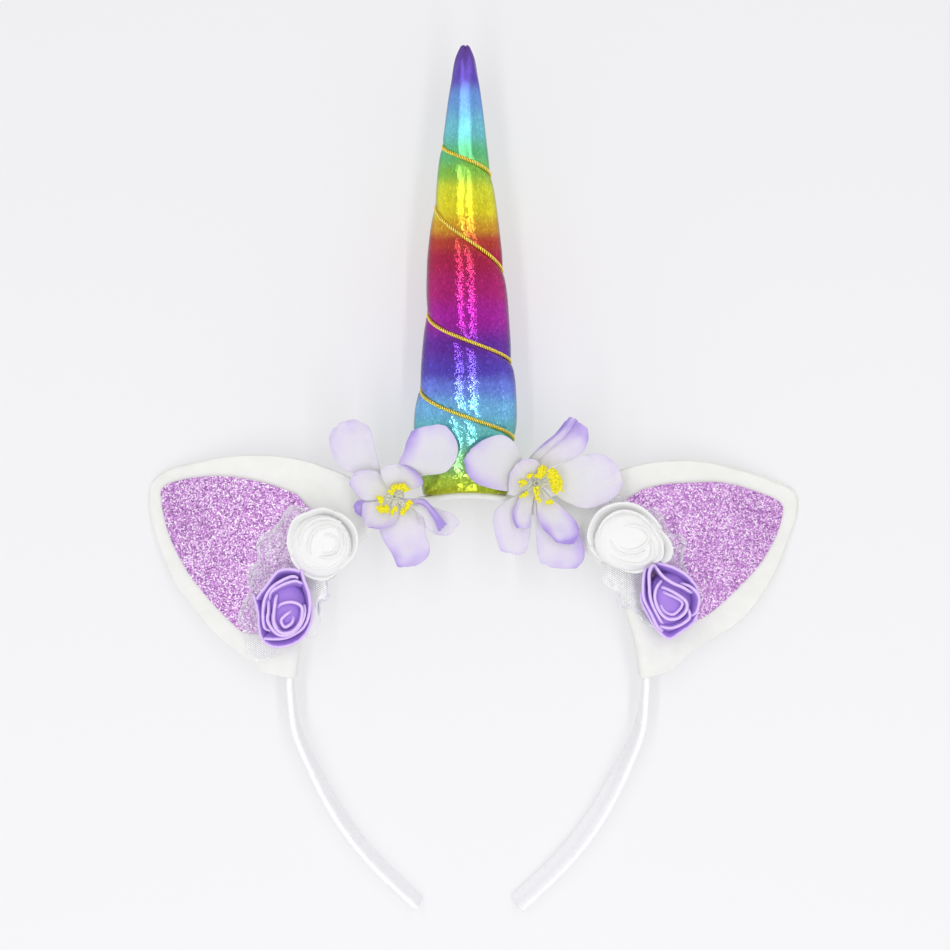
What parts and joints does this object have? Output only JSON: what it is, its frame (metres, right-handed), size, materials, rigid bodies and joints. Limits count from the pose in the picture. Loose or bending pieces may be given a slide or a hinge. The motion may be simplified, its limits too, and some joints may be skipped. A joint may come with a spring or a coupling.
{
  "type": "unicorn horn headband",
  "caption": "Slim hoop headband with a stuffed spiral horn, two felt ears with glitter panels, foam roses and silk flowers.",
  "frame": {"origin": "centre of the footprint, on the surface that the headband lies on", "axes": "+Y along the horn, +Z out of the decorated face, +X to the right as it lies face up"},
  "size_m": [0.2214, 0.2896, 0.0382],
  "materials": {
    "white_satin": "satin",
    "rainbow_foil": "satin",
    "gold_cord": "satin",
    "ivory_felt": "matte",
    "purple_glitter": "satin",
    "silver_tulle": "satin",
    "white_foam": "matte",
    "lavender_foam": "matte",
    "pale_silk": "matte",
    "lilac_silk": "matte",
    "yellow_stamen": "matte"
  },
  "bodies": {
    "root": {"band": "white_satin", "horn": "rainbow_foil", "horn_cord": "gold_cord", "ear_felt_left": "ivory_felt", "ear_felt_right": "ivory_felt", "ear_glitter_left": "purple_glitter", "ear_glitter_right": "purple_glitter", "tulle_left": "silver_tulle", "tulle_right": "silver_tulle", "rose_white_left": "white_foam", "rose_purple_left": "lavender_foam", "rose_white_right": "white_foam", "rose_purple_right": "lavender_foam", "flower_left_back_petals": "pale_silk", "flower_left_front_petals": "lilac_silk", "flower_left_stamens": "yellow_stamen", "flower_right_back_petals": "pale_silk", "flower_right_front_petals": "lilac_silk", "flower_right_stamens": "yellow_stamen"}
  },
  "joints": []
}
